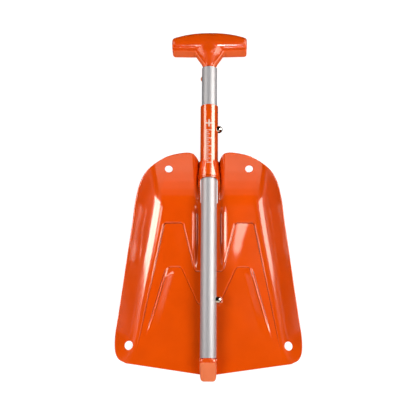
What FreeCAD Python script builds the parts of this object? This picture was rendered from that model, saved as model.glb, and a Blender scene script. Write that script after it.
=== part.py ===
import FreeCAD, Part
import math
import os
from FreeCAD import Placement, Rotation, Vector

# Avalanche shovel, lying on its back in the stored position, in millimetres.
# +Y runs from the blade's tip to the T-grip, +Z out of the scoop, z = 0 is the floor.

doc = FreeCAD.newDocument("avalanche_shovel")
params = doc.addObject("Spreadsheet::Sheet", "Params")

DRIVING = [
    ("sheet_thickness", 1.5),
    ("panel_step", 1.5),
    ("blade_tip_y", -245.5),
    ("blade_top_y", 60.0),
    ("floor_half_width", 80.0),
    ("floor_spread", 0.14),
    ("wall_slope", 0.95),
    ("wing_slope", 1.6),
    ("axis_height", 19.0),
    ("shaft_radius", 11.1),
    ("shaft_wall", 1.2),
    ("shaft_bottom_y", -224.0),
    ("shaft_top_y", 197.0),
    ("socket_bore_radius", 11.2),
    ("socket_wall", 1.5),
    ("socket_bottom_y", 34.0),
    ("socket_top_y", 138.0),
    ("window_top_y", 29.5),
    ("window_bottom_y", -6.0),
    ("window_half_width", 13.2),
    ("upper_lock_y", 103.0),
    ("lower_lock_y", -143.0),
    ("button_radius", 5.2),
    ("button_hole_radius", 5.3),
    ("button_tip_x", 19.2),
    ("flange_radius", 6.3),
    ("flange_front_x", 7.5),
    ("flange_thickness", 1.2),
    ("spring_thickness", 0.6),
    ("spring_width", 7.0),
    ("top_hole_radius", 5.5),
    ("bottom_hole_radius", 6.2),
    ("grip_half_length", 55.0),
    ("grip_seam_z", 27.0),
    ("grip_wall", 2.8),
    ("grip_plug_radius", 9.85),
    ("grip_plug_end_y", 168.0),
    ("grip_rivet_y", 181.0),
    ("rivet_dome_radius", 4.6),
    ("rivet_head_height", 1.8),
    ("rivet_shank_radius", 2.0),
    ("rivet_length", 8.0),
    ("screw_head_radius", 3.4),
    ("screw_shank_radius", 1.6),
    ("cap_end_y", -253.0),
    ("cap_collar_y", -221.5),
    ("cap_half_width", 12.2),
    ("cap_plug_length", 22.0),
]
for row, (alias, value) in enumerate(DRIVING, start=1):
    params.set("A%d" % row, alias)
    params.set("B%d" % row, str(value))
    params.setAlias("B%d" % row, alias)
doc.recompute()


def value(alias):
    return float(params.get(alias))


# ---------------------------------------------------------------- helpers

def finish_node(obj, label):
    """Give the object that makes one sub-part its node name."""
    obj.Label = label
    NODES.append(obj)
    return obj


NODES = []


def feature(name, shape):
    obj = doc.addObject("Part::Feature", name)
    obj.Shape = shape
    return obj


def cylinder_y(name, radius, start_y, length, centre_x="0", centre_z="Params.axis_height"):
    """A cylinder along +Y, driven by expressions."""
    obj = doc.addObject("Part::Cylinder", name)
    obj.Placement = Placement(Vector(0, 0, 0), Rotation(Vector(1, 0, 0), -90))
    obj.setExpression("Radius", radius)
    obj.setExpression("Height", length)
    obj.setExpression("Placement.Base.x", centre_x)
    obj.setExpression("Placement.Base.y", start_y)
    obj.setExpression("Placement.Base.z", centre_z)
    return obj


def cylinder_x(name, radius, start_x, length, centre_y, centre_z="Params.axis_height"):
    """A cylinder along +X, driven by expressions."""
    obj = doc.addObject("Part::Cylinder", name)
    obj.Placement = Placement(Vector(0, 0, 0), Rotation(Vector(0, 1, 0), 90))
    obj.setExpression("Radius", radius)
    obj.setExpression("Height", length)
    obj.setExpression("Placement.Base.x", start_x)
    obj.setExpression("Placement.Base.y", centre_y)
    obj.setExpression("Placement.Base.z", centre_z)
    return obj


def cylinder_z(name, radius, start_z, length, centre_x, centre_y):
    """A cylinder along +Z, driven by expressions."""
    obj = doc.addObject("Part::Cylinder", name)
    obj.setExpression("Radius", radius)
    obj.setExpression("Height", length)
    obj.setExpression("Placement.Base.x", centre_x)
    obj.setExpression("Placement.Base.y", centre_y)
    obj.setExpression("Placement.Base.z", start_z)
    return obj


def block(name, low, high):
    """A box between two corners, each corner three expressions."""
    obj = doc.addObject("Part::Box", name)
    for axis, size, a, b in zip("xyz", ("Length", "Width", "Height"), low, high):
        obj.setExpression(size, "(%s) - (%s)" % (b, a))
        obj.setExpression("Placement.Base." + axis, a)
    return obj


def fuse(name, objects):
    obj = doc.addObject("Part::MultiFuse", name)
    obj.Shapes = objects
    return obj


def cut(name, base, tool):
    obj = doc.addObject("Part::Cut", name)
    obj.Base = base
    obj.Tool = tool
    return obj


def common(name, base, tool):
    obj = doc.addObject("Part::MultiCommon", name)
    obj.Shapes = [base, tool]
    return obj


def fillet(name, base, direction, radius):
    """Round every straight edge of a block that runs along one axis."""
    chosen = []
    for index, edge in enumerate(base.Shape.Edges, start=1):
        run = edge.Vertexes[-1].Point - edge.Vertexes[0].Point
        if abs(getattr(run, direction)) > 0.9 * edge.Length:
            chosen.append((index, radius, radius))
    obj = doc.addObject("Part::Fillet", name)
    obj.Base = base
    obj.Edges = chosen
    return obj


def blend(t):
    """0 below t = 0, 1 above t = 1, smooth between."""
    t = min(max(t, 0.0), 1.0)
    return t * t * (3.0 - 2.0 * t)


def ramp(s, half_bend):
    """0 below -half_bend, s above half_bend, a parabola between."""
    if s <= -half_bend:
        return 0.0
    if s >= half_bend:
        return s
    return (s + half_bend) ** 2 / (4.0 * half_bend)


# ---------------------------------------------------------------- blade

AXIS_Z = value("axis_height")
SHEET = value("sheet_thickness")
STEP = value("panel_step")
SOCKET_OUTER = value("socket_bore_radius") + value("socket_wall")
SOCKET_LIFT = 0.3            # how far the sheet lies above the socket tube's crown
STEP_HALF_WIDTH = 3.5        # half the width of a pressed step between two panels
WING_BEND = 9.0              # half the width of the bend between floor and side wing
WALL_BEND = 26.0             # the same for the long curve up to the top wall
WALL_FOOT_Y = 14.0           # middle of that curve
CORNER_POWER = 1.6           # how round the wing and the wall run together
WINDOW_CORNER = 5.0          # corner radius of the window that the shaft leaves through
UPPER_PANEL_Y = -31.0        # top edge of the upper trapezoid panels
LOWER_PANEL_Y = -94.5        # top edge of the lower trapezoid panels
UPPER_JOIN_Y = -101.0        # below this the two upper panels are one
LOWER_JOIN_Y = -147.0        # below this the two lower panels are one


def step_down(distance):
    return blend((distance + STEP_HALF_WIDTH) / (2.0 * STEP_HALF_WIDTH))


def upper_panel(x, y):
    """1 inside the upper pair of pressed panels, 0 outside."""
    down = UPPER_PANEL_Y - y
    outer = 65.0 + 0.195 * down - x
    inner = max(step_down(x - 37.0 + 0.25 * down), step_down(UPPER_JOIN_Y - y))
    fade = 1.0 - blend((-185.0 - y) / 50.0)
    return step_down(down) * step_down(outer) * inner * fade


def lower_panel(x, y):
    """1 inside the lower pair of pressed panels, 0 outside."""
    down = LOWER_PANEL_Y - y
    outer = 58.0 + 0.277 * down - x
    inner = max(step_down(x - 39.0 + 0.46 * down), step_down(LOWER_JOIN_Y - y))
    fade = 1.0 - blend((-150.0 - y) / 45.0)
    return step_down(down) * step_down(outer) * inner * fade


def wing_rise(x, y):
    foot = value("floor_half_width") + value("floor_spread") * (UPPER_PANEL_Y - y)
    slope = value("wing_slope") - 0.45 * blend((-40.0 - y) / 140.0)
    slope *= 1.0 - 0.7 * blend((-180.0 - y) / 55.0)
    return slope * ramp(x - foot, WING_BEND)


def socket_rise(x, y):
    """The channel that the sheet forms over the shaft below the socket."""
    height = (AXIS_Z + SOCKET_OUTER - SHEET + SOCKET_LIFT) * blend((y + 10.0) / 38.0)
    half_width = 18.5 - 4.5 * blend((y - 20.0) / 26.0)
    return height / (1.0 + (x / half_width) ** 6)


def back_height(x, y):
    """Height of the blade's back face at one point of its plan."""
    x = abs(x)
    wing = wing_rise(x, y)
    wall = value("wall_slope") * ramp(y - WALL_FOOT_Y, WALL_BEND)
    wall *= blend((x - 12.0) / 16.0)
    rim = (wing ** CORNER_POWER + wall ** CORNER_POWER) ** (1.0 / CORNER_POWER)
    floor = STEP * (2.0 - upper_panel(x, y) - lower_panel(x, y))
    socket = socket_rise(x, y)
    return floor * (1.0 - blend(socket / 10.0)) + rim + socket


def slope_at(x, y, d=0.5):
    """The back face's gradient at one point."""
    gx = (back_height(x + d, y) - back_height(x - d, y)) / (2.0 * d)
    gy = (back_height(x, y + d) - back_height(x, y - d)) / (2.0 * d)
    return gx, gy


def front_height(x, y):
    gx, gy = slope_at(x, y)
    return back_height(x, y) + SHEET * math.sqrt(1.0 + gx * gx + gy * gy)


def height_surface(height, half_x, low_y, high_y, pitch):
    """A B-spline face through heights on an even grid."""
    nx = int(round(2.0 * half_x / pitch))
    ny = int(round((high_y - low_y) / pitch))
    rows = []
    for i in range(nx + 1):
        x = -half_x + 2.0 * half_x * i / nx
        ys = [low_y + (high_y - low_y) * j / ny for j in range(ny + 1)]
        rows.append([Vector(x, y, height(x, y)) for y in ys])
    surface = Part.BSplineSurface()
    surface.interpolate(rows)
    return surface.toShape()


def pressed_sheet():
    """The pressed sheet before its outline is cut: two faces and four sides."""
    half_x, low_y, high_y, pitch = 132.0, -249.0, 63.0, 4.0
    back = height_surface(back_height, half_x, low_y, high_y, pitch)
    front = height_surface(front_height, half_x, low_y, high_y, pitch)
    sides = []
    for a, b in zip(back.Edges, front.Edges):
        sides.append(Part.makeRuledSurface(a, b))
    shell = Part.makeShell([back, front] + sides)
    shell.sewShape()
    solid = Part.makeSolid(shell)
    if solid.Volume < 0:
        solid.reverse()
    return solid


def half_outline(side):
    """Right (1) or left (-1) half of the outline, from the notch to the tip."""
    top = value("blade_top_y")
    wing = [(14.0, top - 12.0), (19.0, top - 3.0), (36.0, top), (62.0, top - 5.5),
            (84.0, top - 20.0), (96.0, top - 41.0), (102.0, top - 68.0), (106.0, top - 103.0),
            (113.5, top - 158.0), (121.5, top - 217.0), (127.5, top - 264.0)]
    corner = [wing[-1], (124.5, top - 282.0), (114.0, top - 289.3)]
    side_points = [Vector(side * x, y, 0) for x, y in wing]
    curve = Part.BSplineCurve()
    curve.interpolate(side_points)
    corner_points = [Vector(side * x, y, 0) for x, y in corner]
    tip = Vector(0, value("blade_tip_y"), 0)
    arc = Part.Arc(*corner_points)
    return [curve.toShape(), arc.toShape(), Part.makeLine(corner_points[-1], tip)]


def outline_prism():
    top = value("blade_top_y") - 12.0
    notch = Part.makeLine(Vector(-14, top, 0), Vector(14, top, 0))
    edges = half_outline(1) + half_outline(-1) + [notch]
    wire = Part.Wire(Part.__sortEdges__(edges))
    face = Part.Face(wire)
    face.translate(Vector(0, 0, -10))
    return face.extrude(Vector(0, 0, 90))


HOLES = [("top", 57.0, 41.0, "top_hole_radius"), ("bottom", 110.0, -205.0, "bottom_hole_radius")]


def sheet_normal(x, y):
    gx, gy = slope_at(x, y)
    normal = Vector(-gx, -gy, 1.0)
    normal.normalize()
    return normal


def hole_punch(x, y, radius):
    """A cylinder square to the sheet at one point."""
    normal = sheet_normal(x, y)
    base = Vector(x, y, back_height(x, y)) - normal * 6.0
    return Part.makeCylinder(radius, 14.0, base, normal)


def make_blade():
    sheet = feature("blade_sheet", pressed_sheet())
    outline = feature("blade_outline", outline_prism())
    trimmed = common("blade_trimmed", sheet, outline)
    socket = cylinder_y("socket_outside", "Params.socket_bore_radius + Params.socket_wall",
                        "Params.socket_bottom_y", "Params.socket_top_y - Params.socket_bottom_y")
    joined = fuse("blade_joined", [trimmed, socket])
    bore = cylinder_y("socket_bore", "Params.socket_bore_radius", "Params.window_top_y - 1",
                      "Params.socket_top_y - Params.window_top_y + 2")
    window = block("window_block",
                   ("-Params.window_half_width", "Params.window_bottom_y", "-5"),
                   ("Params.window_half_width", "Params.window_top_y", "40"))
    doc.recompute()
    rounded = fillet("window_cut", window, "z", WINDOW_CORNER)
    lock_hole = cylinder_x("socket_lock_hole", "Params.button_hole_radius", "0", "20",
                           "Params.upper_lock_y")
    punches = []
    for name, x, y, radius in HOLES:
        for side in (-1, 1):
            punches.append(hole_punch(side * x, y, value(radius)))
    holes = feature("anchor_punches", Part.makeCompound(punches))
    tools = fuse("blade_tools", [bore, rounded, lock_hole])
    bored = cut("blade_bored", joined, tools)
    return finish_node(cut("blade_cut", bored, holes), "blade")


# ---------------------------------------------------------------- shaft

def make_shaft():
    length = "Params.shaft_top_y - Params.shaft_bottom_y"
    outside = cylinder_y("shaft_outside", "Params.shaft_radius", "Params.shaft_bottom_y", length)
    inside = cylinder_y("shaft_inside", "Params.shaft_radius - Params.shaft_wall",
                        "Params.shaft_bottom_y - 1", length + " + 2")
    upper = cylinder_x("shaft_upper_hole", "Params.button_hole_radius", "0", "20",
                       "Params.upper_lock_y")
    lower = cylinder_x("shaft_lower_hole", "Params.button_hole_radius", "0", "20",
                       "Params.lower_lock_y")
    rivet = cylinder_x("shaft_rivet_hole", "Params.rivet_shank_radius + 0.05", "-20", "20",
                       "Params.grip_rivet_y")
    tools = fuse("shaft_tools", [inside, upper, lower, rivet])
    return finish_node(cut("shaft_cut", outside, tools), "shaft_tube")


def make_lock(place, lock_y):
    """One snap button and the leaf spring behind it."""
    tip = "Params.button_tip_x - Params.button_radius"
    shank = cylinder_x(place + "_shank", "Params.button_radius", "Params.flange_front_x",
                       "(%s) - Params.flange_front_x" % tip, lock_y)
    flange = cylinder_x(place + "_flange", "Params.flange_radius",
                        "Params.flange_front_x - Params.flange_thickness",
                        "Params.flange_thickness", lock_y)
    dome = doc.addObject("Part::Sphere", place + "_dome")
    dome.setExpression("Radius", "Params.button_radius")
    dome.setExpression("Placement.Base.x", tip)
    dome.setExpression("Placement.Base.y", lock_y)
    dome.setExpression("Placement.Base.z", "Params.axis_height")
    button = fuse(place + "_button", [flange, shank, dome])
    finish_node(button, place + "_lock_button")

    centre_y = value(place + "_lock_y")
    thick = value("spring_thickness")
    near = value("flange_front_x") - value("flange_thickness") - 0.1 - thick / 2.0
    far = -8.7
    bend = 3.0
    reach = 34.0
    width = value("spring_width")
    straight = Part.makeLine(Vector(near, centre_y - 8.0, 0), Vector(near, centre_y + reach, 0))
    turn = Part.Arc(Vector(near, centre_y + reach, 0),
                    Vector(near - bend, centre_y + reach + bend, 0),
                    Vector(near - 2.0 * bend, centre_y + reach, 0)).toShape()
    leg = Part.makeLine(Vector(near - 2.0 * bend, centre_y + reach, 0),
                        Vector(far, centre_y - 6.0, 0))
    path = Part.Wire([straight, turn, leg])
    strip = path.makeOffset2D(thick / 2.0, fill=False, openResult=True)
    other = path.makeOffset2D(-thick / 2.0, fill=False, openResult=True)
    ends = []
    for index in (0, -1):
        a = strip.OrderedVertexes[index].Point
        b = other.OrderedVertexes[index].Point
        ends.append(Part.makeLine(a, b))
    outline = Part.Wire(Part.__sortEdges__(strip.Edges + other.Edges + ends))
    face = Part.Face(outline)
    face.translate(Vector(0, 0, AXIS_Z - width / 2.0))
    spring = feature(place + "_spring", face.extrude(Vector(0, 0, width)))
    finish_node(spring, place + "_lock_spring")


# ---------------------------------------------------------------- T-grip

GRIP_STATIONS = [
    # fraction of the half length, centre y, half height in y, half depth in z
    (0.0, 235.2, 15.0, 18.2),
    (0.3, 235.0, 14.6, 18.2),
    (0.62, 233.9, 13.2, 17.8),
    (0.88, 232.2, 11.3, 17.0),
    (0.97, 231.4, 10.2, 15.6),
    (1.0, 231.2, 8.4, 13.0),
]
STEM_STATIONS = [
    # y, half width, half depth
    (198.0, 9.9, 9.9),
    (200.0, 10.1, 10.1),
    (204.0, 11.8, 11.6),
    (208.0, 14.4, 13.4),
    (213.0, 17.8, 15.4),
    (219.0, 21.6, 17.0),
    (226.0, 24.5, 17.6),
    (233.0, 25.5, 17.6),
]
GRIP_SKEW = 0.15             # how far the finger side leans towards +Y as it rises
GRIP_SQUARENESS = 0.7        # 1 gives an ellipse, smaller is squarer
SECTION_POINTS = 20
GROOVE_RADIUS = 0.9
GROOVE_PATH = [(-57.0, 227.6), (0.0, 225.3), (57.0, 227.6)]
GROOVE_Z = 33.6
GROOVE_GAP = 21.0            # half the width left ungrooved across the stem


def grip_section(x, centre_y, half_y, half_z):
    """A rounded, leaning section of the bar in a plane across X."""
    points = []
    for i in range(SECTION_POINTS):
        a = 2.0 * math.pi * i / SECTION_POINTS
        c, s = math.cos(a), math.sin(a)
        y = half_y * math.copysign(abs(c) ** GRIP_SQUARENESS, c)
        z = half_z * math.copysign(abs(s) ** GRIP_SQUARENESS, s)
        lean = GRIP_SKEW * z * (1.0 - c) / 2.0
        points.append(Vector(x, centre_y + y + lean, AXIS_Z + z))
    curve = Part.BSplineCurve()
    curve.interpolate(points, PeriodicFlag=True)
    return Part.Wire([curve.toShape()])


def grip_bar(shrink):
    """The crossbar, or its hollow when shrink is the wall thickness."""
    half = value("grip_half_length") - shrink
    sections = []
    for fraction, centre_y, half_y, half_z in reversed(GRIP_STATIONS[1:]):
        sections.append(grip_section(-half * fraction, centre_y, half_y - shrink, half_z - shrink))
    for fraction, centre_y, half_y, half_z in GRIP_STATIONS:
        sections.append(grip_section(half * fraction, centre_y, half_y - shrink, half_z - shrink))
    return Part.makeLoft(sections, True, False)


def grip_stem():
    """The trumpet between tube and crossbar, lofted through ellipses."""
    sections = []
    for y, half_width, half_depth in STEM_STATIONS:
        points = []
        for i in range(SECTION_POINTS):
            a = 2.0 * math.pi * i / SECTION_POINTS
            points.append(Vector(half_width * math.cos(a), y, AXIS_Z + half_depth * math.sin(a)))
        curve = Part.BSplineCurve()
        curve.interpolate(points, PeriodicFlag=True)
        sections.append(Part.Wire([curve.toShape()]))
    return Part.makeLoft(sections, True, False)


def grip_groove():
    """A round-bottomed groove along each arm, between its face and its finger side."""
    start, middle, end = [Vector(x, y, GROOVE_Z) for x, y in GROOVE_PATH]
    path = Part.Wire([Part.Arc(start, middle, end).toShape()])
    first = path.Edges[0]
    along = first.tangentAt(first.FirstParameter)
    ring = Part.Wire([Part.makeCircle(GROOVE_RADIUS, first.valueAt(first.FirstParameter), along)])
    rod = path.makePipeShell([ring], True, True)
    gap = Part.makeBox(2.0 * GROOVE_GAP, 40.0, 40.0, Vector(-GROOVE_GAP, 210.0, 15.0))
    return rod.cut(gap)


SCREWS = [(-36.0, 234.0), (36.0, 234.0), (0.0, 226.0)]
SCREW_HEAD_DEPTH = 3.0
SCREW_HEAD_Z = 6.5           # back of the screw heads
SCREW_GRIP = 3.5             # how far each shank reaches past the seam
SLOT_HALF_WIDTH = 0.5
SLOT_DEPTH = 1.1


def make_grip():
    bar = feature("grip_bar_skin", grip_bar(0.0))
    stem = feature("grip_stem_skin", grip_stem())
    plug = cylinder_y("grip_plug", "Params.grip_plug_radius", "Params.grip_plug_end_y",
                      "Params.shaft_top_y - Params.grip_plug_end_y + 6")
    skin = fuse("grip_skin", [bar, stem, plug])

    hollow_bar = feature("grip_bar_hollow", grip_bar(value("grip_wall")))
    core = block("grip_core", ("-14", "200", "0"), ("14", "260", "45"))
    arms = cut("grip_arm_hollows", hollow_bar, core)
    bosses = []
    for index, (x, y) in enumerate(SCREWS[:2]):
        bosses.append(cylinder_z("grip_boss_%d" % index, "5", "0", "45", str(x), str(y)))
    hollows = cut("grip_hollows", arms, fuse("grip_bosses", bosses))
    walls = cut("grip_walls", skin, hollows)

    shanks, heads = [], []
    for index, (x, y) in enumerate(SCREWS):
        shanks.append(cylinder_z("screw_bore_%d" % index, "Params.screw_shank_radius + 0.05",
                                 "-1", "Params.grip_seam_z + %g" % (SCREW_GRIP + 1.5),
                                 str(x), str(y)))
        heads.append(cylinder_z("screw_well_%d" % index, "Params.screw_head_radius + 0.2",
                                "-1", str(SCREW_HEAD_Z + SCREW_HEAD_DEPTH + 1.0),
                                str(x), str(y)))
    rivet = cylinder_x("grip_rivet_bore", "Params.rivet_shank_radius + 0.05", "-20", "17",
                       "Params.grip_rivet_y")
    tools = fuse("grip_tools", shanks + heads + [rivet])
    grooved = cut("grip_grooved", walls, feature("grip_grooves", grip_groove()))
    drilled = cut("grip_drilled", grooved, tools)

    above = block("front_zone", ("-70", "Params.shaft_top_y + 1.3", "Params.grip_seam_z + 0.15"),
                  ("70", "270", "60"))
    not_rear = block("not_rear_zone", ("-70", "Params.shaft_top_y + 1", "Params.grip_seam_z - 0.15"),
                     ("70", "270", "60"))
    finish_node(common("grip_front", drilled, above), "grip_front_shell")
    finish_node(cut("grip_rear", drilled, not_rear), "grip_rear_shell")

    parts = []
    shank_z = SCREW_HEAD_Z + SCREW_HEAD_DEPTH - 0.5
    for index, (x, y) in enumerate(SCREWS):
        head = cylinder_z("screw_head_%d" % index, "Params.screw_head_radius", str(SCREW_HEAD_Z),
                          str(SCREW_HEAD_DEPTH), str(x), str(y))
        shank = cylinder_z("screw_shank_%d" % index, "Params.screw_shank_radius", str(shank_z),
                           "Params.grip_seam_z + %g" % (SCREW_GRIP - shank_z), str(x), str(y))
        slot = block("screw_slot_%d" % index,
                     ("%g - Params.screw_head_radius + 0.8" % x, str(y - SLOT_HALF_WIDTH),
                      str(SCREW_HEAD_Z - 0.5)),
                     ("%g + Params.screw_head_radius - 0.8" % x, str(y + SLOT_HALF_WIDTH),
                      str(SCREW_HEAD_Z + SLOT_DEPTH)))
        body = fuse("screw_body_%d" % index, [head, shank])
        parts.append(cut("screw_%d" % index, body, slot))
    screws = doc.addObject("Part::Compound", "screws")
    screws.Links = parts
    finish_node(screws, "grip_screws")


def make_rivet():
    """A domed rivet through the tube's left wall into the grip's plug."""
    outer = "-(Params.shaft_radius + 0.1)"
    shank = cylinder_x("rivet_shank", "Params.rivet_shank_radius", outer + " - 0.1",
                       "Params.rivet_length", "Params.grip_rivet_y")
    head = doc.addObject("Part::Sphere", "rivet_dome")
    head.setExpression("Radius", "Params.rivet_dome_radius")
    head.setExpression("Placement.Base.x", outer + " - Params.rivet_head_height + Params.rivet_dome_radius")
    head.setExpression("Placement.Base.y", "Params.grip_rivet_y")
    head.setExpression("Placement.Base.z", "Params.axis_height")
    clip = block("rivet_clip", ("-20", "Params.grip_rivet_y - 10", "0"),
                 (outer, "Params.grip_rivet_y + 10", "40"))
    dome = common("rivet_head", head, clip)
    finish_node(fuse("rivet_body", [dome, shank]), "grip_rivet")


# ---------------------------------------------------------------- end cap

CAP_CORNER = 5.0             # corner radius of the square cap
CAP_SLANT = 38.0             # angle of its slanted face, in degrees
CAP_SLANT_Y = -227.0         # where the slant starts
CAP_FLOOR = 4.0              # how far the plug's bore goes below the collar
WEDGE = (40.0, 60.0, 30.0)   # the block that cuts the slant


def make_cap():
    half = "Params.cap_half_width"
    box = block("cap_block", ("-" + half, "Params.cap_end_y", "Params.axis_height - " + half),
                (half, "Params.cap_collar_y", "Params.axis_height + " + half))
    doc.recompute()
    rounded = fillet("cap_rounded", box, "y", CAP_CORNER)
    wedge = doc.addObject("Part::Box", "cap_wedge")
    wedge.Length, wedge.Width, wedge.Height = WEDGE
    crest = Vector(-WEDGE[0] / 2.0, CAP_SLANT_Y, value("axis_height") + value("cap_half_width"))
    turn = Placement(crest, Rotation(Vector(1, 0, 0), CAP_SLANT))
    wedge.Placement = turn.multiply(Placement(Vector(0, -WEDGE[1], 0), Rotation()))
    slanted = cut("cap_slanted", rounded, wedge)
    plug = cylinder_y("cap_plug", "Params.shaft_radius - Params.shaft_wall - 0.05",
                      "Params.cap_collar_y - 6", "Params.cap_plug_length")
    recess = cylinder_y("cap_recess", "Params.shaft_radius + 0.05", "Params.shaft_bottom_y", "10")
    plug_bore = cylinder_y("cap_bore", "Params.shaft_radius - Params.shaft_wall - 2.2",
                           "Params.cap_collar_y - %g" % CAP_FLOOR, "Params.cap_plug_length + 20")
    outer = cut("cap_outer", slanted, recess)
    solid = fuse("cap_solid", [outer, plug])
    finish_node(cut("cap_body", solid, plug_bore), "end_cap")


make_blade()
make_shaft()
make_lock("upper", "Params.upper_lock_y")
make_lock("lower", "Params.lower_lock_y")
make_grip()
make_rivet()
make_cap()
doc.recompute()

for obj in doc.Objects:
    if "Invalid" in obj.State or "Error" in obj.State:
        raise RuntimeError("%s did not build: %s" % (obj.Name, obj.State))

os.makedirs("parts", exist_ok=True)
for node in NODES:
    shape = node.Shape
    if shape.isNull() or not shape.isValid():
        raise RuntimeError("%s has no valid shape" % node.Label)
    shape.exportStep(os.path.join("parts", node.Label + ".step"))
    box = shape.BoundBox
    print("%-20s %d solids %9.0f mm3  x %7.1f %7.1f  y %7.1f %7.1f  z %6.1f %6.1f" % (
        node.Label, len(shape.Solids), shape.Volume,
        box.XMin, box.XMax, box.YMin, box.YMax, box.ZMin, box.ZMax))
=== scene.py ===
import math
import bmesh
import bpy
import numpy as np
from mathutils import Matrix, Vector
from mathutils.geometry import delaunay_2d_cdt


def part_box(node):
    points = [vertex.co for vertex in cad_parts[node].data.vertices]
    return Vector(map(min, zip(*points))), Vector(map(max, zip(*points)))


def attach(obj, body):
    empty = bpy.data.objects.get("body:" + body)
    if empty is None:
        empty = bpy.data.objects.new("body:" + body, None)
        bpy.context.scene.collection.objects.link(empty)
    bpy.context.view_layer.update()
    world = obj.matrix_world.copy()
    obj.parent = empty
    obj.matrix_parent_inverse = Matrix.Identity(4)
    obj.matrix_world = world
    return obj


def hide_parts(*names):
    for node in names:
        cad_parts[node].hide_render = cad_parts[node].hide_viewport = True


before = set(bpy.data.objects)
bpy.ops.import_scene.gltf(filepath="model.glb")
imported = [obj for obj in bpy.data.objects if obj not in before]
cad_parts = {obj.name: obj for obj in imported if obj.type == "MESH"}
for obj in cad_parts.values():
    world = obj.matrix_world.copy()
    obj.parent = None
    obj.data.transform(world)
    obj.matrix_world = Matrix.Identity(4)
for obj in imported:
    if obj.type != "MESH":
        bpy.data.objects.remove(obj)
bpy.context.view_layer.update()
MM = 0.001      # the shapes are worked out in mm, and scaled when their meshes are made

# ---------------------------------------------------------------- places read from the frame

shaft_low, shaft_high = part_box("shaft_tube")
button_low, button_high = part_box("upper_lock_button")
AXIS_Z = (shaft_low.z + shaft_high.z) / 2 / MM
SHAFT_R = (shaft_high.x - shaft_low.x) / 2 / MM
SOCKET_R = SHAFT_R + 1.6     # the sheet's thickness and 0.1 of slack
SOCKET_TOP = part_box("blade")[1].y / MM
LOCK_Y = (button_low.y + button_high.y) / 2 / MM

# ---------------------------------------------------------------- small helpers


def new_object(name, mesh, body):
    """A visible piece that rides on a CAD body."""
    obj = bpy.data.objects.new(name, mesh)
    bpy.context.scene.collection.objects.link(obj)
    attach(obj, body)
    return obj


def blend01(t):
    """A smooth rise from 0 to 1 as t goes from 0 to 1."""
    t = np.clip(t, 0.0, 1.0)
    return t * t * (3.0 - 2.0 * t)


def ramp(s, half_bend):
    """Zero, then a slope of 1, with a bend between them."""
    curve = (s + half_bend) ** 2 / (4.0 * half_bend)
    return np.where(s <= -half_bend, 0.0, np.where(s >= half_bend, s, curve))


def soft_max(a, b, k):
    """The larger of two heights, with a fillet of size k where they meet."""
    gap = a - b
    d = np.clip(gap, -k, k)
    fillet = (a + b) / 2.0 + (d * d + k * k) / (4.0 * k)
    return np.where(gap >= k, a, np.where(gap <= -k, b, fillet))


# ---------------------------------------------------------------- the blade's pressed form

SHEET = 1.5                  # thickness
STEP = 1.5                   # height of a panel's pressed edge
STEP_HALF = 1.1              # half its width
CORNER_FILLET = 5.0          # at a panel's corners
JOIN_FILLET = 4.0            # where a panel's inner leg meets its lower edge
SOCKET_FILLET = 4.5          # where the channel over the shaft meets the sheet
TOP_Y = 60.0
TIP_Y = -245.5
WINDOW = (13.05, -6.0, 29.5, 5.0)       # half width, bottom, top, corner radius

# A pressed panel: its top edge, its legs (place at the top edge, spread per mm towards the tip),
# its lower edge beside the shaft, and where its step starts to fade out and over what length.
UPPER = {"top": -31.0, "outer": (65.0, 0.195), "inner": (37.0, 0.25), "join": -101.0,
         "fade": (-150.0, 80.0)}
LOWER = {"top": -94.5, "outer": (58.0, 0.277), "inner": (39.0, 0.46), "join": -147.0,
         "fade": (-130.0, 65.0)}


def step_down(distance):
    """The share of a pressed step at a distance inside its line."""
    return blend01((distance + STEP_HALF) / (2.0 * STEP_HALF))


def corner_min(a, b):
    """The smaller of two distances, with a rounded corner."""
    return -soft_max(-a, -b, CORNER_FILLET)


def inside_outer_leg(panel, x, y):
    place, spread = panel["outer"]
    return place + spread * (panel["top"] - y) - x


def inside_inner_leg(panel, x, y):
    place, spread = panel["inner"]
    return x - place + spread * (panel["top"] - y)


def pressed(panel, x, y):
    """1 inside a panel and 0 outside it, fading out towards the tip."""
    lower_edge = soft_max(inside_inner_leg(panel, x, y), panel["join"] - y, JOIN_FILLET)
    upper_edge = corner_min(panel["top"] - y, inside_outer_leg(panel, x, y))
    start, length = panel["fade"]
    fade = 1.0 - blend01((start - y) / length)
    return step_down(corner_min(upper_edge, lower_edge)) * fade


def panel_dish(x, y):
    """How far an upper panel's floor sinks from its inner leg towards its outer leg."""
    sink, sunk_over = 1.4, 22.0
    fade_from, fade_over = 28.0, 45.0
    down = UPPER["top"] - y
    sunk = blend01(inside_inner_leg(UPPER, x, y) / sunk_over)
    return sink * sunk * pressed(UPPER, x, y) * (1.0 - blend01((down - fade_from) / fade_over))


def trough(x, y):
    """The shallow channel under the shaft below the window, with a raised edge on each side."""
    depth, wall_x, wall_width = 3.0, 22.0, 6.0
    edge_height, edge_x, edge_width = 1.4, 20.5, 2.8
    along = blend01((y + 106.0) / 50.0) * (1.0 - blend01((y + 22.0) / 18.0))
    edge = edge_height * np.exp(-((x - edge_x) / edge_width) ** 2)
    return (depth * blend01((wall_x - x) / wall_width) - edge) * along


def leg_ridge(x, y):
    """The crease along the outer leg of a lower panel, dished towards the panel's middle."""
    height, inner_width, outer_width = 3.0, 13.0, 2.8
    down = LOWER["top"] - y
    inward = inside_outer_leg(LOWER, x, y)
    along = blend01((down - 1.0) / 14.0) * (1.0 - blend01((-140.0 - y) / 60.0))
    return (height * along * (1.0 - blend01(inward / inner_width))
            * (1.0 - blend01(-inward / outer_width)))


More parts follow.
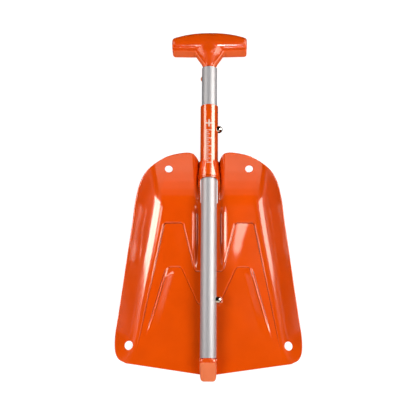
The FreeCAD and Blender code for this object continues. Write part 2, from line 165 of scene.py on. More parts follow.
def wing_rise(x, y):
    """The side wing: steep beside the shaft's end, flatter and more sharply bent at the tip."""
    foot_x, foot_spread = 81.0, 0.14
    foot = foot_x + foot_spread * (UPPER["top"] - y)
    slope = 1.6 - 0.45 * blend01((-40.0 - y) / 140.0)
    slope = slope * (1.0 - 0.7 * blend01((-180.0 - y) / 55.0))
    bend = 13.0 - 6.0 * blend01((-30.0 - y) / 150.0)
    return slope * ramp(x - foot, bend)


def socket_rise(x, y):
    """The channel over the shaft: a round crown with steep flanks."""
    turn, flank_slope = 0.949 * SOCKET_R, 3.0
    crown = np.sqrt(SOCKET_R ** 2 - np.minimum(x, turn) ** 2)
    crown = crown - flank_slope * np.maximum(x - turn, 0.0)
    height = AXIS_Z + crown - SHEET
    return height - (AXIS_Z + SOCKET_R - SHEET) * (1.0 - blend01((y + 10.0) / 38.0))


def window_lip(x, y):
    """A small raised bead round the arch that the shaft leaves through."""
    height, centre, width = 0.7, 1.1, 0.9
    half, low, high, r = WINDOW
    over_x = np.maximum(x - (half - r), 0.0)
    over_y = np.maximum(y - (high - r), 0.0)
    away = np.hypot(over_x, over_y) - r
    return height * np.exp(-((away - centre) / width) ** 2) * blend01((y - low - 2.0) / 8.0)


def back_height(x, y):
    """The height of the sheet's back face over the plan."""
    round_rim = 1.6          # how gently the wing and the top wall run into each other
    x = np.abs(x)
    wing = wing_rise(x, y)
    wall = 0.95 * ramp(y - 14.0, 26.0) * blend01((x - 11.0) / 12.5)
    rim = (wing ** round_rim + wall ** round_rim) ** (1.0 / round_rim)
    floor = STEP * (2.0 - pressed(UPPER, x, y) - pressed(LOWER, x, y))
    floor = floor - trough(x, y) - panel_dish(x, y)
    base = np.maximum(floor, 0.0) + leg_ridge(x, y) + rim
    return soft_max(base, socket_rise(x, y), SOCKET_FILLET) + window_lip(x, y)


def sheet_frames(plan, d=0.3):
    """Middle of the sheet and its normal at each plan point, in mm."""
    x, y = plan[:, 0], plan[:, 1]
    gx = (back_height(x + d, y) - back_height(x - d, y)) / (2.0 * d)
    gy = (back_height(x, y + d) - back_height(x, y - d)) / (2.0 * d)
    stretch = np.sqrt(1.0 + gx * gx + gy * gy)
    normals = np.stack([-gx, -gy, np.ones_like(gx)], 1) / stretch[:, None]
    middle = np.stack([x, y, back_height(x, y) + SHEET * stretch / 2.0], 1)
    return middle, normals


# ---------------------------------------------------------------- the blade's outline and openings

# The right edge, from the notch beside the socket to the corner at the tip.
SIDE = [(14.0, TOP_Y - 5.5), (19.0, TOP_Y - 1.8), (34.0, TOP_Y), (62.0, TOP_Y - 5.5),
        (84.0, TOP_Y - 20.0), (96.0, TOP_Y - 41.0), (102.0, TOP_Y - 68.0), (106.0, TOP_Y - 103.0),
        (113.5, TOP_Y - 158.0), (121.5, TOP_Y - 217.0), (127.5, TOP_Y - 264.0),
        (124.5, TOP_Y - 282.0), (114.0, TOP_Y - 289.3)]
HOLES = [(57.0, 41.0, 5.5), (110.0, -205.0, 6.2)]       # x, y and radius of an anchor hole
OUTLINE_PITCH = 1.4
WINDOW_PITCH = 1.2
CURVE_STEPS = 40
HOLE_POINTS = 40


def through(points, pitch):
    """A Catmull-Rom curve through the points, at even steps."""
    fine = []
    ends = [2 * points[0] - points[1]] + points + [2 * points[-1] - points[-2]]
    for a, b, c, d in zip(ends, ends[1:], ends[2:], ends[3:]):
        for i in range(CURVE_STEPS):
            t = i / CURVE_STEPS
            fine.append(0.5 * (2 * b + (c - a) * t + (2 * a - 5 * b + 4 * c - d) * t * t
                               + (3 * b - a - 3 * c + d) * t ** 3))
    fine.append(points[-1])
    return even(fine, pitch)


def even(line, pitch):
    """The same line with points at even steps, both ends kept."""
    total = sum((b - a).length for a, b in zip(line, line[1:]))
    count = max(1, round(total / pitch))
    out, walked, goal = [line[0].copy()], 0.0, total / count
    for a, b in zip(line, line[1:]):
        run = (b - a).length
        while walked + run >= goal - 1e-9 and len(out) < count:
            out.append(a.lerp(b, (goal - walked) / run))
            goal += total / count
        walked += run
    out.append(line[-1].copy())
    return out


def outline_loop():
    """The blade's outline, made on the right and mirrored."""
    right = through([Vector(p) for p in SIDE], OUTLINE_PITCH)
    tip = even([right[-1], Vector((0.0, TIP_Y))], OUTLINE_PITCH)
    half = right + tip[1:]
    mirrored = [Vector((-p.x, p.y)) for p in reversed(half[:-1])]
    notch = even([mirrored[-1], half[0]], OUTLINE_PITCH)
    return half + mirrored + notch[1:-1]


def window_loop():
    """The rounded rectangle under the socket that the shaft passes through."""
    half, low, high, r = WINDOW
    corner_steps = 8
    loop = []
    for cx, cy, start in ((half - r, high - r, 0), (r - half, high - r, 90),
                          (r - half, low + r, 180), (half - r, low + r, 270)):
        for i in range(corner_steps + 1):
            a = math.radians(start + i * 90 / corner_steps)
            loop.append(Vector((cx + r * math.cos(a), cy + r * math.sin(a))))
    dense = []
    for a, b in zip(loop, loop[1:] + loop[:1]):
        dense += even([a, b], WINDOW_PITCH)[:-1]
    return dense


def hole_loop(x, y, radius):
    """The plan of a round hole drilled square to the sheet."""
    middle, normals = sheet_frames(np.array([[x, y]]))
    centre, normal = Vector(middle[0]), Vector(normals[0])
    across = normal.cross(Vector((0, 1, 0))).normalized()
    along = normal.cross(across)
    loop = []
    for i in range(HOLE_POINTS):
        a = 2 * math.pi * i / HOLE_POINTS
        p = centre + across * (radius * math.cos(a)) + along * (radius * math.sin(a))
        loop.append(Vector((p.x, p.y)))
    return loop


def signed_area(loop):
    return sum(a.x * b.y - b.x * a.y for a, b in zip(loop, loop[1:] + loop[:1])) / 2


def offset_loop(loop, distance):
    """The loop moved sideways; a positive distance moves it to the left of its travel."""
    out = []
    for before, here, after in zip(loop[-1:] + loop[:-1], loop, loop[1:] + loop[:1]):
        run = (after - before).normalized()
        out.append(here + Vector((-run.y, run.x)) * distance)
    return out


def inside(points, loop):
    """Which plan points lie inside a loop."""
    hit = np.zeros(len(points), bool)
    for a, b in zip(loop, loop[1:] + loop[:1]):
        if a.y != b.y:
            crosses = (a.y > points[:, 1]) != (b.y > points[:, 1])
            hit ^= crosses & (points[:, 0] < (b.x - a.x) * (points[:, 1] - a.y) / (b.y - a.y) + a.x)
    return hit


def clear_of(points, loop, reach):
    """Which plan points keep their distance from a loop's own points."""
    far = np.ones(len(points), bool)
    for q in loop:
        far &= (np.abs(points[:, 0] - q.x) > reach) | (np.abs(points[:, 1] - q.y) > reach)
    return far


def curvature(x, y, d=1.2):
    """How sharply the form bends near each plan point."""
    h = back_height(x, y)
    bend_x = back_height(x + d, y) + back_height(x - d, y) - 2 * h
    bend_y = back_height(x, y + d) + back_height(x, y - d) - 2 * h
    twist = back_height(x + d, y + d) + back_height(x - d, y - d) - 2 * h
    return np.maximum(np.maximum(np.abs(bend_x), np.abs(bend_y)), np.abs(twist) / 2)


GRID = 0.7                   # pitch of the fine points
COARSE = 4                   # every fourth one is kept where the sheet is flat
GRID_X = range(-186, 187)    # both run past the outline, which trims them
GRID_Y = range(-356, 91)
FLAT = 0.03                  # the bend below which the coarse points do


def open_points(points, outline, cuts):
    """The plan points on the sheet that keep clear of its edges."""
    for loop, wanted in [(outline, True)] + [(cut, False) for cut in cuts]:
        points = points[inside(points, loop) == wanted]
        points = points[clear_of(points, loop, GRID)]
    return points


def plan_points(outline, cuts):
    """Coarse points everywhere, fine ones where the sheet bends."""
    i, j = np.meshgrid(GRID_X, GRID_Y, indexing="ij")
    x, y = i.ravel() * GRID, j.ravel() * GRID
    keep = (i.ravel() % COARSE == 0) & (j.ravel() % COARSE == 0)
    keep |= curvature(x, y) > FLAT
    return open_points(np.stack([x, y], 1)[keep], outline, cuts)


def hollow(x, y, d=0.5):
    """How sharply the sheet folds upwards at each plan point, as a second difference."""
    across = back_height(x + d, y) + back_height(x - d, y)
    along = back_height(x, y + d) + back_height(x, y - d)
    return (across + along - 4.0 * back_height(x, y)) / (d * d)


RIM_STEPS = 6                # facets round a sheet's edge
CREASE_SHADE_FROM = 0.15           # the fold at which the painted crease shade starts
CREASE_SHADE_OVER = 0.5


def sheet_mesh(name, outline, cuts, grid, frames, fold=None):
    """A sheet of even thickness over flat loops and grid points, with its edges rolled round.

    frames gives the sheet's middle and normal at plan points, and fold how sharply it folds there,
    which sets a painted shade in the creases.
    """
    edge = SHEET / 2
    if signed_area(outline) < 0:
        outline.reverse()
    for loop in cuts:
        if signed_area(loop) > 0:
            loop.reverse()
    loops = [outline] + cuts
    all_points, constraint = [Vector(p) for p in grid], []
    for loop in loops:
        first, n = len(all_points), len(loop)
        all_points += loop
        constraint += [(first + i, first + (i + 1) % n) for i in range(n)]
    verts, _, faces, source, _, _ = delaunay_2d_cdt(all_points, constraint, [], 0, 1e-6)
    plan = np.array([tuple(v) for v in verts])
    faces = np.array(faces)
    centres = plan[faces].mean(1)
    kept = inside(centres, outline)
    for loop in cuts:
        kept &= ~inside(centres, loop)
    faces = faces[kept]
    new_index = {old: new for new, olds in enumerate(source) for old in olds}
    middle, normals = frames(plan)
    n_plan = len(plan)
    coords = [middle + normals * edge, middle - normals * edge]
    shading = [normals, -normals]
    all_faces = [tuple(f) for f in faces]
    all_faces += [tuple(int(v) + n_plan for v in f[::-1]) for f in faces]
    total, first = 2 * n_plan, len(grid)
    for loop in loops:
        ids = np.array([new_index[first + i] for i in range(len(loop))])
        first += len(loop)
        run = middle[np.roll(ids, -1)] - middle[np.roll(ids, 1)]
        outward = np.cross(run, normals[ids])
        outward /= np.linalg.norm(outward, axis=1)[:, None]
        rings = [ids]
        for k in range(1, RIM_STEPS):
            a = math.pi / 2 - math.pi * k / RIM_STEPS
            way = outward * math.cos(a) + normals[ids] * math.sin(a)
            coords.append(middle[ids] + way * edge)
            shading.append(way)
            rings.append(np.arange(total, total + len(ids)))
            total += len(ids)
        rings.append(ids + n_plan)
        for upper, lower in zip(rings, rings[1:]):
            for i in range(len(ids)):
                j = (i + 1) % len(ids)
                all_faces.append((int(lower[i]), int(lower[j]), int(upper[j]), int(upper[i])))
    mesh = bpy.data.meshes.new(name)
    used = np.zeros(total, bool)
    used[[v for f in all_faces for v in f]] = True
    renumber = np.cumsum(used) - 1
    all_faces = [tuple(int(renumber[v]) for v in f) for f in all_faces]
    mesh.from_pydata((np.concatenate(coords)[used] * MM).tolist(), [], all_faces)
    mesh.shade_smooth()
    mesh.normals_split_custom_set_from_vertices(np.concatenate(shading)[used].tolist())
    # Painted shade: how sharply the sheet folds is stored as a darkening for the paint in its
    # creases, standing in for their shadow.
    if fold:
        bend = fold(plan[:, 0], plan[:, 1])
        depth = np.zeros(total)
        both_sides = np.concatenate([bend, -bend])
        depth[:2 * n_plan] = np.clip((both_sides - CREASE_SHADE_FROM) / CREASE_SHADE_OVER, 0.0, 1.0)
        attribute = mesh.attributes.new("crease", "FLOAT", "POINT")
        attribute.data.foreach_set("value", depth[used])
    return mesh


def build_blade():
    """The pressed sheet with its anchor holes and the window for the shaft."""
    edge = SHEET / 2
    outline = outline_loop()
    if signed_area(outline) < 0:
        outline.reverse()
    outline = offset_loop(outline, edge)
    cuts = [hole_loop(side * x, y, radius + edge) for x, y, radius in HOLES for side in (-1, 1)]
    cuts.append(window_loop())
    grid = plan_points(outline, cuts)
    return sheet_mesh("blade_sheet", outline, cuts, grid, sheet_frames, hollow)


# ---------------------------------------------------------------- the socket and its marks

SOCKET_LOW = 39.0
SOCKET_SEAM = 0.7            # half the gap of the seam at the back
SOCKET_TUCK = 0.16           # how far the lower end dips under the sheet
SOCKET_PITCH = 1.3           # of the grid points along the tube
SOCKET_COLUMNS = 48          # from the crown to the seam
SOCKET_AROUND = range(-60, 61)      # both run past the outline, which trims them
SOCKET_ALONG = range(0, 90)
LOCK_HOLE_R = 5.35
LOCK_HOLE_POINTS = 48


def socket_frames(plan):
    """Rolls flat points (round the tube, along it) about the shaft's axis."""
    r = SOCKET_R - SHEET / 2
    middle_r = r - SOCKET_TUCK * (1.0 - blend01((plan[:, 1] - SOCKET_LOW) / 6.0))
    turn = plan[:, 0] / r
    normals = np.stack([np.sin(turn), np.zeros_like(turn), np.cos(turn)], 1)
    axis = np.stack([0 * turn, plan[:, 1], 0 * turn + AXIS_Z], 1)
    return normals * middle_r[:, None] + axis, normals


def build_socket():
    """The rolled socket above the blade: its seam at the back, a hole for the lock button."""
    edge = SHEET / 2
    r = SOCKET_R - edge
    half = math.pi * r - SOCKET_SEAM - edge
    low, high = SOCKET_LOW, SOCKET_TOP - edge
    corners = [Vector(p) for p in ((-half, low), (half, low), (half, high), (-half, high))]
    outline = []
    for a, b in zip(corners, corners[1:] + corners[:1]):
        outline += even([a, b], 1.0)[:-1]
    hole = []
    reach = LOCK_HOLE_R + edge
    for i in range(LOCK_HOLE_POINTS):
        t = 2 * math.pi * i / LOCK_HOLE_POINTS
        turn = math.pi / 2 - math.asin(reach * math.cos(t) / r)
        hole.append(Vector((r * turn, LOCK_Y + reach * math.sin(t))))
    i, j = np.meshgrid(SOCKET_AROUND, SOCKET_ALONG, indexing="ij")
    points = np.stack([i.ravel() * half / SOCKET_COLUMNS, low + j.ravel() * SOCKET_PITCH], 1)
    grid = open_points(points, outline, [hole])
    return sheet_mesh("socket_tube", outline, [hole], grid, socket_frames)


PRINT_HIGH = SOCKET_R + 0.05     # a print stands just proud of the socket's skin
PRINT_LOW = SOCKET_R - 0.2
CROSS = [(-24, 24, 107.8, 110.2), (-5.5, 5.5, 103.6, 107.79), (-5.5, 5.5, 110.21, 114.4)]
SCALE_LINE = (-22, -17.5, 50.0, 99.0)
TICKS, TICK_FROM, TICK_Y, TICK_PITCH, TICK_HALF = 17, -17.49, 50.5, 3.0, 0.5
LONG, MIDDLE, SHORT = 16, 6, -3      # degrees from the crown that a tick reaches


def curved_patch(bm, turn_low, turn_high, y_low, y_high):
    """A thin printed patch lying on the socket's skin; turns in degrees from the crown."""
    section = ((PRINT_HIGH, y_low), (PRINT_HIGH, y_high), (PRINT_LOW, y_high), (PRINT_LOW, y_low))
    rings = []
    steps = max(2, round((turn_high - turn_low) / 4.0))
    for i in range(steps + 1):
        a = math.radians(turn_low + (turn_high - turn_low) * i / steps)
        row = []
        for r, y in section:
            place = (r * math.sin(a) * MM, y * MM, (AXIS_Z + r * math.cos(a)) * MM)
            row.append(bm.verts.new(place))
        rings.append(row)
    for a, b in zip(rings, rings[1:]):
        for k in range(4):
            bm.faces.new((a[k], a[(k + 1) % 4], b[(k + 1) % 4], b[k]))
    bm.faces.new(rings[0])
    bm.faces.new(rings[-1][::-1])


def finished(bm, name):
    """The bmesh as a mesh, its faces turned outwards."""
    bmesh.ops.recalc_face_normals(bm, faces=bm.faces)
    mesh = bpy.data.meshes.new(name)
    bm.to_mesh(mesh)
    bm.free()
    return mesh


def build_marks():
    """A plain cross and a depth scale of unnumbered ticks printed on the socket."""
    bm = bmesh.new()
    for patch in CROSS + [SCALE_LINE]:
        curved_patch(bm, *patch)
    for i in range(TICKS):
        y = TICK_Y + i * TICK_PITCH
        reach = LONG if i % 4 == 0 else (MIDDLE if i % 2 == 0 else SHORT)
        curved_patch(bm, TICK_FROM, reach, y - TICK_HALF, y + TICK_HALF)
    return finished(bm, "socket_marks")


# ---------------------------------------------------------------- the end cap

CAP_POINTS = 48              # round each section
CAP_SQUARE = 0.45            # 1 is an ellipse, 0 a rectangle
CAP_HALF = 12.2


def ring(y, half_x, low, high, squareness=CAP_SQUARE, dip=0.0):
    """A rounded-square section across Y, its corners dipped towards the tip."""
    out = []
    for i in range(CAP_POINTS):
        a = 2 * math.pi * (i + 0.5) / CAP_POINTS
        c, s = math.cos(a), math.sin(a)
        x = half_x * math.copysign(abs(c) ** squareness, c)
        z = (low + high) / 2 + (high - low) / 2 * math.copysign(abs(s) ** squareness, s)
        out.append((x * MM, (y - dip * math.sin(2 * a) ** 2) * MM, z * MM))
    return out


def lofted(name, rings, body):
    """A closed skin through the rings, with a cap on each end."""
    bm = bmesh.new()
    rows = [[bm.verts.new(p) for p in points] for points in rings]
    for a, b in zip(rows, rows[1:]):
        for i in range(len(a)):
            j = (i + 1) % len(a)
            bm.faces.new((a[i], a[j], b[j], b[i]))
    bm.faces.new(rows[0][::-1])
    bm.faces.new(rows[-1])
    mesh = finished(bm, name)
    mesh.shade_smooth()
    return new_object(name, mesh, body)


# Sections of the slanted face from the collar to its end: y, half width, lowest and highest z.
CAP_FACE = [(-226.8, 11.3, 7.2, 30.6), (-228.4, 11.3, 6.9, 30.4), (-229.2, 11.3, 6.8, 29.9),
            (-231.0, 11.4, 6.8, 28.6), (-234.0, 11.4, 6.8, 26.3), (-238.0, 11.4, 6.8, 23.1),
            (-242.0, 11.3, 6.8, 20.0), (-245.5, 11.1, 6.8, 17.3), (-248.5, 10.7, 6.9, 15.0),
            (-250.6, 10.0, 7.2, 13.5), (-252.0, 9.0, 7.7, 12.6), (-252.8, 7.6, 8.4, 11.9),
            (-253.0, 6.2, 9.0, 11.3)]


def build_cap():
    """The moulded cap: a slanted, rounded face and the arched collar that grips the tube."""
    face = lofted("end_cap_face", [ring(*section) for section in CAP_FACE], "shaft")
    low, high = AXIS_Z - CAP_HALF, AXIS_Z + CAP_HALF
    bore = SHAFT_R + 0.05
    rings = [ring(-224.0, bore, AXIS_Z - bore, AXIS_Z + bore, 1.0),
             ring(-221.6, bore, AXIS_Z - bore, AXIS_Z + bore, 1.0),
             ring(-221.5, 11.5, low + 0.7, high - 0.7, 0.6, 0.9),
             ring(-221.9, 12.0, low + 0.2, high - 0.2, 0.5, 1.5),
             ring(-222.7, CAP_HALF, low, high, CAP_SQUARE, 1.5),
             ring(-226.6, CAP_HALF, low, high, CAP_SQUARE, 0.6),
             ring(-227.4, 12.0, low + 0.2, high - 0.2, CAP_SQUARE, 0.4),
             ring(-227.9, 11.3, low + 0.9, high - 0.9, CAP_SQUARE, 0.2),
             ring(-227.2, 10.6, low + 1.6, high - 1.6)]
    collar = lofted("end_cap_collar", rings, "shaft")
    return face, collar


# ---------------------------------------------------------------- the grip's moulded shells

GRIP_VOXEL = 0.5
GRIP_SMOOTHING = 4           # rounds


def softened(node, name):
    """A copy of a CAD node's mesh with its edges softened, as moulded plastic has."""
    obj = new_object(name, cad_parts[node].data.copy(), "shaft")
    remesh = obj.modifiers.new("remesh", "REMESH")
    remesh.mode = "VOXEL"
    remesh.voxel_size = GRIP_VOXEL * MM
    smooth = obj.modifiers.new("smooth", "SMOOTH")
    smooth.factor = 0.5
    smooth.iterations = GRIP_SMOOTHING
    bpy.context.view_layer.update()
    depsgraph = bpy.context.evaluated_depsgraph_get()
    mesh = bpy.data.meshes.new_from_object(obj.evaluated_get(depsgraph))
    obj.modifiers.clear()
    obj.data = mesh
    obj.data.shade_smooth()
    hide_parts(node)
    return obj


# ---------------------------------------------------------------- materials


def node_material(name):
    """An empty node material with one Principled shader."""
    mat = bpy.data.materials.new(name)
    mat.use_nodes = True
    tree = mat.node_tree
    tree.nodes.clear()
    out = tree.nodes.new("ShaderNodeOutputMaterial")
    shader = tree.nodes.new("ShaderNodeBsdfPrincipled")
    tree.links.new(shader.outputs[0], out.inputs[0])
    return mat, tree, shader


def add(tree, kind, **values):
    """A new node with the given settings."""
    node = tree.nodes.new(kind)
    for key, val in values.items():
        setattr(node, key, val)
    return node


def noise(tree, coords, scale, detail=3.0, rough=0.5, stretch=(1, 1, 1)):
    """A noise pattern over the object's own coordinates, in metres."""
    mapping = tree.nodes.new("ShaderNodeMapping")
    mapping.inputs["Scale"].default_value = stretch
    tree.links.new(coords, mapping.inputs["Vector"])
    node = tree.nodes.new("ShaderNodeTexNoise")
    node.inputs["Scale"].default_value = scale
    node.inputs["Detail"].default_value = detail
    node.inputs["Roughness"].default_value = rough
    tree.links.new(mapping.outputs[0], node.inputs["Vector"])
    return node.outputs["Fac"]


def ramp_node(tree, fac, start, end):
    """A colour ramp between two stops, each a position and a colour."""
    node = tree.nodes.new("ShaderNodeValToRGB")
    for stop, (position, colour) in zip(node.color_ramp.elements, (start, end)):
        stop.position = position
        stop.color = colour
    tree.links.new(fac, node.inputs["Fac"])
    return node.outputs["Color"]


def grey(v):
    return (v, v, v, 1.0)


def bump(tree, shader, height, strength, distance):
    node = tree.nodes.new("ShaderNodeBump")
    node.inputs["Strength"].default_value = strength
    node.inputs["Distance"].default_value = distance
    tree.links.new(height, node.inputs["Height"])
    tree.links.new(node.outputs[0], shader.inputs["Normal"])


def object_coords(tree):
    return tree.nodes.new("ShaderNodeTexCoord").outputs["Object"]


def powder_coat():
    """Gloss orange powder coat: mottle, orange peel, uneven gloss, painted shade in the creases,
    edge wear.
    """
    mat, tree, shader = node_material("blade_powder_coat")
    coords = object_coords(tree)
    mottle = noise(tree, coords, 30.0, 4.0)
    colour = ramp_node(tree, mottle,
                       (0.3, (0.74, 0.074, 0.0004, 1)), (0.7, (0.80, 0.083, 0.0006, 1)))
    geometry = tree.nodes.new("ShaderNodeNewGeometry")
    worn = ramp_node(tree, geometry.outputs["Pointiness"], (0.56, grey(0)), (0.62, grey(1)))
    scuffs = noise(tree, coords, 260.0, 6.0, 0.7)
    scratch = ramp_node(tree, scuffs, (0.5, grey(0)), (0.62, grey(0.5)))
    # Painted shade: the colour is darkened to 0.3 of itself where the sheet folds upwards, standing
    # in for the shadow in the pressed creases.
    fold = add(tree, "ShaderNodeAttribute", attribute_name="crease")
    crease = ramp_node(tree, fold.outputs["Fac"], (0.0, grey(1)), (1.0, grey(0.3)))
    crease_shaded = add(tree, "ShaderNodeMix", data_type="RGBA", blend_type="MULTIPLY")
    crease_shaded.inputs[0].default_value = 1.0
    tree.links.new(colour, crease_shaded.inputs[6])
    tree.links.new(crease, crease_shaded.inputs[7])
    mask = add(tree, "ShaderNodeMath", operation="MULTIPLY")
    tree.links.new(worn, mask.inputs[0])
    tree.links.new(scratch, mask.inputs[1])
    mix = add(tree, "ShaderNodeMix", data_type="RGBA")
    tree.links.new(mask.outputs[0], mix.inputs[0])
    tree.links.new(crease_shaded.outputs[2], mix.inputs[6])
    mix.inputs[7].default_value = (0.85, 0.22, 0.08, 1)
    tree.links.new(mix.outputs[2], shader.inputs["Base Color"])
    patches = noise(tree, coords, 18.0, 5.0, 0.6)
    gloss = ramp_node(tree, patches, (0.3, grey(0.18)), (0.75, grey(0.25)))
    tree.links.new(gloss, shader.inputs["Roughness"])
    shader.inputs["Coat Weight"].default_value = 1.0
    shader.inputs["Coat Roughness"].default_value = 0.1
    shader.inputs["Coat IOR"].default_value = 1.65
    shader.inputs["Specular IOR Level"].default_value = 0.2
    bump(tree, shader, noise(tree, coords, 900.0, 2.0), 0.05, 0.0003)
    return mat


def brushed_tube():
    """Satin anodised aluminium tube with fine grain along its length."""
    mat, tree, shader = node_material("shaft_brushed_aluminium")
    coords = object_coords(tree)
    grain = noise(tree, coords, 900.0, 4.0, 0.65, (1.0, 0.035, 1.0))
    fleck = noise(tree, coords, 700.0, 3.0, 0.7)
    both = add(tree, "ShaderNodeMath", operation="ADD")
    tree.links.new(grain, both.inputs[0])
    tree.links.new(fleck, both.inputs[1])
    colour = ramp_node(tree, both.outputs[0],
                       (0.36, (0.195, 0.20, 0.22, 1)), (0.66, (0.315, 0.32, 0.345, 1)))
    tree.links.new(colour, shader.inputs["Base Color"])
    shader.inputs["Metallic"].default_value = 0.36
    rough = ramp_node(tree, fleck, (0.3, grey(0.46)), (0.7, grey(0.6)))
    tree.links.new(rough, shader.inputs["Roughness"])
    bump(tree, shader, both.outputs[0], 0.2, 0.0003)
    return mat


def moulded(name, low, high, rough_low, rough_high, coat=0.0, specular=0.5):
    """Moulded plastic: slight colour flow, fine texture."""
    mat, tree, shader = node_material(name)
    coords = object_coords(tree)
    flow = noise(tree, coords, 45.0, 4.0)
    colour = ramp_node(tree, flow, (0.3, (*low, 1)), (0.7, (*high, 1)))
    tree.links.new(colour, shader.inputs["Base Color"])
    wear = noise(tree, coords, 120.0, 3.0)
    rough = ramp_node(tree, wear, (0.3, grey(rough_low)), (0.7, grey(rough_high)))
    tree.links.new(rough, shader.inputs["Roughness"])
    shader.inputs["Coat Weight"].default_value = coat
    shader.inputs["Specular IOR Level"].default_value = specular
    shader.inputs["Coat Roughness"].default_value = 0.12
    shader.inputs["Subsurface Weight"].default_value = 0.04
    shader.inputs["Subsurface Radius"].default_value = (0.004, 0.001, 0.0005)
    shader.inputs["Subsurface Scale"].default_value = 0.5
    bump(tree, shader, noise(tree, coords, 1400.0, 2.0), 0.08, 0.0003)
    return mat


def polished(name, low, high, rough_low, rough_high):
    """Plated or polished steel with faint turning marks."""
    mat, tree, shader = node_material(name)
    coords = object_coords(tree)
    grain = noise(tree, coords, 1800.0, 3.0, 0.6, (0.1, 1.0, 1.0))
    colour = ramp_node(tree, grain, (0.3, grey(low)), (0.7, grey(high)))
    tree.links.new(colour, shader.inputs["Base Color"])
    shader.inputs["Metallic"].default_value = 1.0
    rough = ramp_node(tree, grain, (0.3, grey(rough_low)), (0.7, grey(rough_high)))
    tree.links.new(rough, shader.inputs["Roughness"])
    bump(tree, shader, grain, 0.05, 0.0001)
    return mat


def assign(obj, mat):
    obj.data.materials.clear()
    obj.data.materials.append(mat)


# For moulded plastic: two colours, two roughnesses, coat, specular level.
COAT = powder_coat()
TUBE = brushed_tube()
GRIP_FRONT = moulded("grip_front_plastic", (0.69, 0.065, 0.0006), (0.75, 0.077, 0.001),
                     0.16, 0.24, 0.0, 0.3)
GRIP_REAR = moulded("grip_rear_plastic", (0.84, 0.11, 0.006), (0.90, 0.13, 0.01), 0.34, 0.45, 0.1)
# The cap face's paler colour is partly its own satin plastic and partly painted sheen, standing for
# the tip light glancing off the slanted face.
CAP_WITH_SHEEN = moulded("cap_plastic", (0.76, 0.16, 0.05), (0.82, 0.19, 0.065), 0.42, 0.55)
COLLAR = moulded("cap_collar_plastic", (0.70, 0.066, 0.001), (0.76, 0.08, 0.002), 0.2, 0.3, 0.5)
CHROME = polished("button_chrome", 0.62, 0.75, 0.08, 0.16)
STEEL = polished("spring_steel_strip", 0.42, 0.5, 0.22, 0.34)
ZINC = polished("screw_zinc", 0.5, 0.6, 0.2, 0.3)
RIVET = moulded("rivet_painted", (0.78, 0.22, 0.10), (0.86, 0.28, 0.14), 0.25, 0.35, 0.4)
PRINT = moulded("printed_marks", (0.74, 0.52, 0.43), (0.84, 0.64, 0.55), 0.4, 0.5)

# ---------------------------------------------------------------- pieces

blade = new_object("blade_pressed_sheet", build_blade(), "blade")
assign(blade, COAT)
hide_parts("blade")
socket = new_object("blade_socket_tube", build_socket(), "blade")
assign(socket, COAT)
marks = new_object("socket_marks", build_marks(), "blade")
assign(marks, PRINT)

for node, name, mat in (("grip_front_shell", "grip_front_moulding", GRIP_FRONT),
                        ("grip_rear_shell", "grip_rear_moulding", GRIP_REAR)):
    piece = softened(node, name)
    assign(piece, mat)

cap_face, cap_collar = build_cap()
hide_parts("end_cap")
for piece, mat in ((cap_face, CAP_WITH_SHEEN), (cap_collar, COLLAR)):
    assign(piece, mat)

for node, mat in (("shaft_tube", TUBE),
                  ("upper_lock_button", CHROME), ("lower_lock_button", CHROME),
                  ("upper_lock_spring", STEEL), ("lower_lock_spring", STEEL),
                  ("grip_screws", ZINC), ("grip_rivet", RIVET)):
    assign(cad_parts[node], mat)

# ---------------------------------------------------------------- floor, light, camera, in metres

WHITE = (1.0, 1.0, 1.0)
WARM = (1.0, 0.92, 0.82)
AMBER = (1.0, 0.82, 0.62)

# Each light: name, place, target, size, power, colour. A light beside the object has its first size
# along Y. Fills only light the object, and shapers are seen only in reflections.
FILLS = [("fill_right", (0.95, -0.1, 1.3), (0, 0, 0), (1.2, 0.8), 18.5, WHITE),
         ("fill_left", (-0.95, -0.1, 1.3), (0, 0, 0), (1.2, 0.8), 16, WHITE)]
GRIP_KICKER = ("grip_kicker", (0.057, -0.95, 1.0), (0.03, 0.2, 0.03), (0.075, 0.45), 30, WHITE)
SHAPERS = [("sheen_right", (0.42, 0.22, 1.36), (0.04, -0.05, 0), (0.27, 0.38), 2.0, WARM),
           ("softbox_right", (1.13, 0.4, 0.82), (0, 0.4, 0), (1.2, 1.13), 56, WARM),
           ("softbox_left", (-1.16, 0.4, 0.78), (0, 0.4, 0), (1.2, 0.75), 20, WARM)]
TIP_PANELS = ((14, 5.5), (28, 3.8), (42, 2.2), (56, 1.0))    # rise in degrees, power
TIP_DISTANCE = 2.04
TIP_TARGET = (0, -0.05, 0)
TIP_SIZE = (2.6, 0.5)

FLOOR_Z = -0.0005
FLOOR_HALF = 3.0

CAMERA_TILT = math.radians(12.0)         # towards the blade's tip
CAMERA_SWING = math.radians(-1.5)
CAMERA_ROLL = math.radians(0.3)
CAMERA_DISTANCE = 1.0
CAMERA_TARGET = Vector((-0.0012, -0.0134, AXIS_Z * MM))
CAMERA_SENSOR = 36.0
CAMERA_LENS = 61.0


def area_light(name, place, target, size, power, colour):
    """A rectangular light at a place, turned towards a target."""
    data = bpy.data.lights.new(name, "AREA")
    data.shape = "RECTANGLE"
    data.size, data.size_y = size
    data.energy = power
    data.color = colour
    obj = bpy.data.objects.new(name, data)
    obj.location = place
    obj.rotation_mode = "QUATERNION"
    obj.rotation_quaternion = (Vector(target) - Vector(place)).to_track_quat("-Z", "Y")
    bpy.context.scene.collection.objects.link(obj)
    return obj


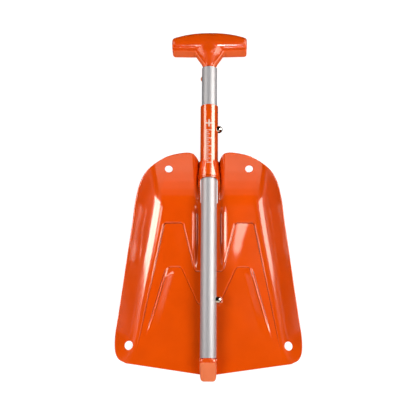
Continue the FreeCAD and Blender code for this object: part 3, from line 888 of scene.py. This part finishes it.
def make_floor():
    """A pale paper floor, left out of reflections so that it doesn't veil the paint."""
    bm = bmesh.new()
    bmesh.ops.create_grid(bm, x_segments=8, y_segments=8, size=FLOOR_HALF)
    mesh = bpy.data.meshes.new("floor")
    bm.to_mesh(mesh)
    bm.free()
    floor = bpy.data.objects.new("floor", mesh)
    floor.location.z = FLOOR_Z
    bpy.context.scene.collection.objects.link(floor)
    mat, _, shader = node_material("floor_paper")
    shader.inputs["Base Color"].default_value = grey(0.25)
    shader.inputs["Roughness"].default_value = 0.9
    shader.inputs["Specular IOR Level"].default_value = 0.0
    shader.inputs["Emission Color"].default_value = grey(1.0)
    shader.inputs["Emission Strength"].default_value = 0.9
    assign(floor, mat)
    floor.visible_glossy = False


def make_light():
    """A white backdrop, two fills, softboxes at both sides and a fan of panels beyond the tip."""
    world = bpy.data.worlds.new("studio")
    world.use_nodes = True
    background = world.node_tree.nodes["Background"]
    background.inputs["Color"].default_value = grey(1.0)
    background.inputs["Strength"].default_value = 1.0
    bpy.context.scene.world = world
    world.cycles_visibility.diffuse = False
    world.cycles_visibility.glossy = False
    for light in [area_light(*fill) for fill in FILLS]:
        light.visible_glossy = False
    kicker = area_light(*GRIP_KICKER)
    shapers = [kicker] + [area_light(*shaper) for shaper in SHAPERS]
    for rise, power in TIP_PANELS:
        a = math.radians(rise)
        place = (0.0, -TIP_DISTANCE * math.cos(a), TIP_DISTANCE * math.sin(a))
        area_light("panel_tip_%d" % rise, place, TIP_TARGET, TIP_SIZE, power, AMBER)
    lit = bpy.data.collections.new("kicker_lights_only")
    lit.objects.link(bpy.data.objects["grip_front_moulding"])
    kicker.light_linking.receiver_collection = lit
    for light in shapers:
        light.visible_diffuse = False


def make_camera():
    """Above the scoop, tipped towards the blade's tip."""
    tilt, swing, roll = CAMERA_TILT, CAMERA_SWING, CAMERA_ROLL
    towards = Vector((-math.sin(swing), -math.sin(tilt) * math.cos(swing),
                      math.cos(tilt) * math.cos(swing)))
    data = bpy.data.cameras.new("camera")
    data.sensor_width = CAMERA_SENSOR
    data.lens = CAMERA_LENS
    cam = bpy.data.objects.new("camera", data)
    cam.location = CAMERA_TARGET + towards * CAMERA_DISTANCE
    right = Vector((0, 1, 0)).cross(towards).normalized()
    up = towards.cross(right)
    turned_right = math.cos(roll) * right + math.sin(roll) * up
    turned_up = math.cos(roll) * up - math.sin(roll) * right
    rotation = Matrix((turned_right, turned_up, towards)).transposed()
    cam.rotation_mode = "QUATERNION"
    cam.rotation_quaternion = rotation.to_quaternion()
    bpy.context.scene.collection.objects.link(cam)
    bpy.context.scene.camera = cam


make_floor()
make_light()
make_camera()
bpy.context.scene.view_settings.view_transform = "Standard"
